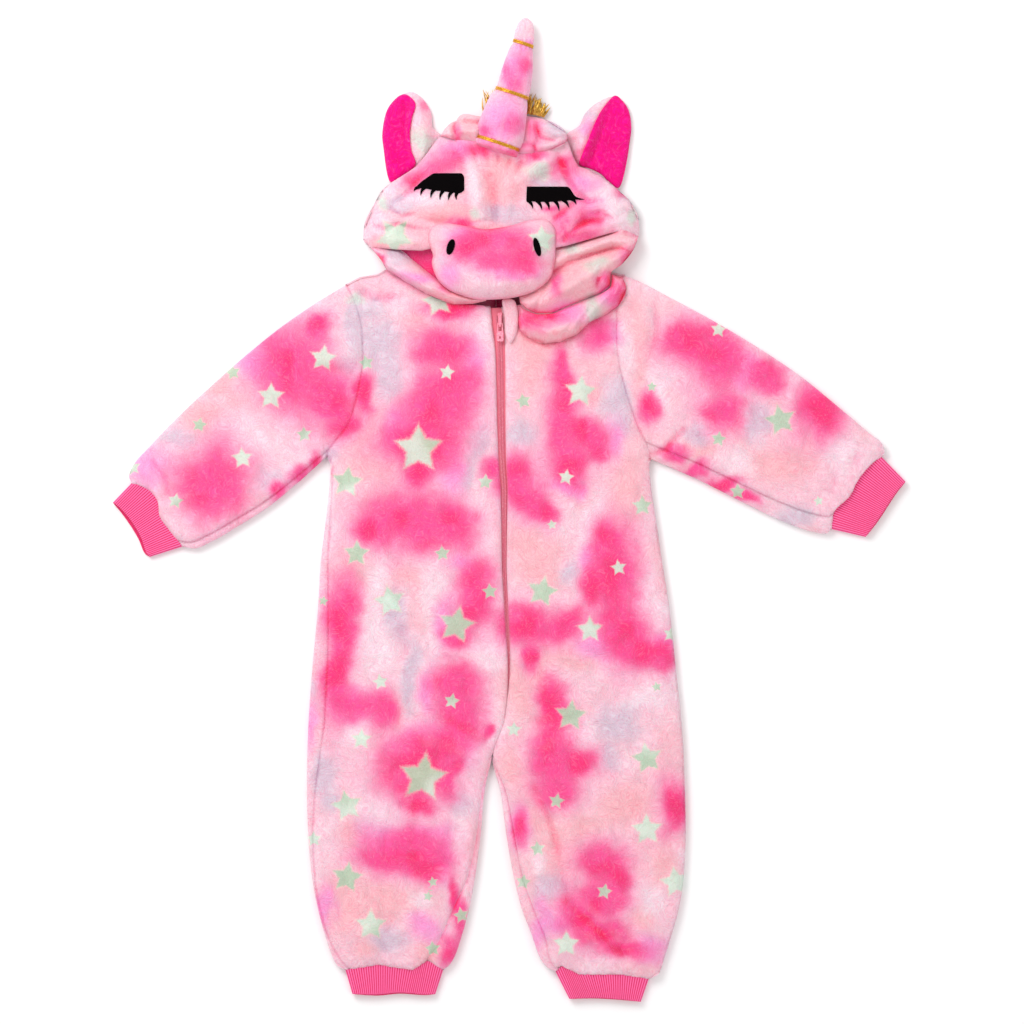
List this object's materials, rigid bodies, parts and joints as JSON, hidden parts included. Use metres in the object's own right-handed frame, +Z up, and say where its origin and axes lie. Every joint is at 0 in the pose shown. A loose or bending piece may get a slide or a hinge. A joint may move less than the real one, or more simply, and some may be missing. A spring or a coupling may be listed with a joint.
{
  "type": "unicorn onesie",
  "caption": "Child's hooded unicorn onesie in star-dyed plush, laid flat on its back, with horn, ears, muzzle, front zip and ribbed cuffs.",
  "frame": {"origin": "middle of the garment's box, on the surface it lies on", "axes": "+X to the wearer's left, +Y from the feet to the hood, +Z up, away from the surface"},
  "size_m": [0.8335, 1.0335, 0.047],
  "materials": {
    "plush": "short-pile plush, dyed in pink clouds with pale green stars",
    "ear_lining_plush": "magenta short-pile plush",
    "rib_knit": "hot pink rib knit",
    "black_felt": "black felt applique",
    "gold_cord": "twisted metallic gold cord",
    "gold_tinsel": "metallic gold strands",
    "zip_tape": "coral zip tape with a nylon coil",
    "zip_slider": "coral enamelled zinc"
  },
  "bodies": {
    "garment": {"ankle_cuff_left": "rib_knit", "ankle_cuff_right": "rib_knit", "back_left": "plush", "back_right": "plush", "ear_left": "plush", "ear_lining_left": "ear_lining_plush", "ear_lining_right": "ear_lining_plush", "ear_right": "plush", "eye_left": "black_felt", "eye_right": "black_felt", "front_left": "plush", "front_right": "plush", "hood_collar_left": "plush", "hood_crown": "plush", "hood_hem_right": "plush", "hood_hidden_layers": "plush", "hood_jaw_left": "plush", "hood_left": "plush", "hood_right": "plush", "horn": "plush", "horn_cord_high": "gold_cord", "horn_cord_low": "gold_cord", "horn_cord_middle": "gold_cord", "mane_tuft": "gold_tinsel", "muzzle": "plush", "nostril_left": "black_felt", "nostril_right": "black_felt", "sleeve_left": "plush", "sleeve_right": "plush", "slider": "zip_slider", "wrist_cuff_left": "rib_knit", "wrist_cuff_right": "rib_knit", "zip_chain": "zip_tape", "zip_guard": "plush"},
    "zip_pull": {"pull_tab": "zip_slider"}
  },
  "joints": [
    {"name": "pull_tab_swing", "type": "hinge", "parent": "garment", "child": "zip_pull", "pos_m": [-0.0094, 0.196, 0.014], "axis": [-1, 0, 0], "range_deg": [0, 150]}
  ]
}
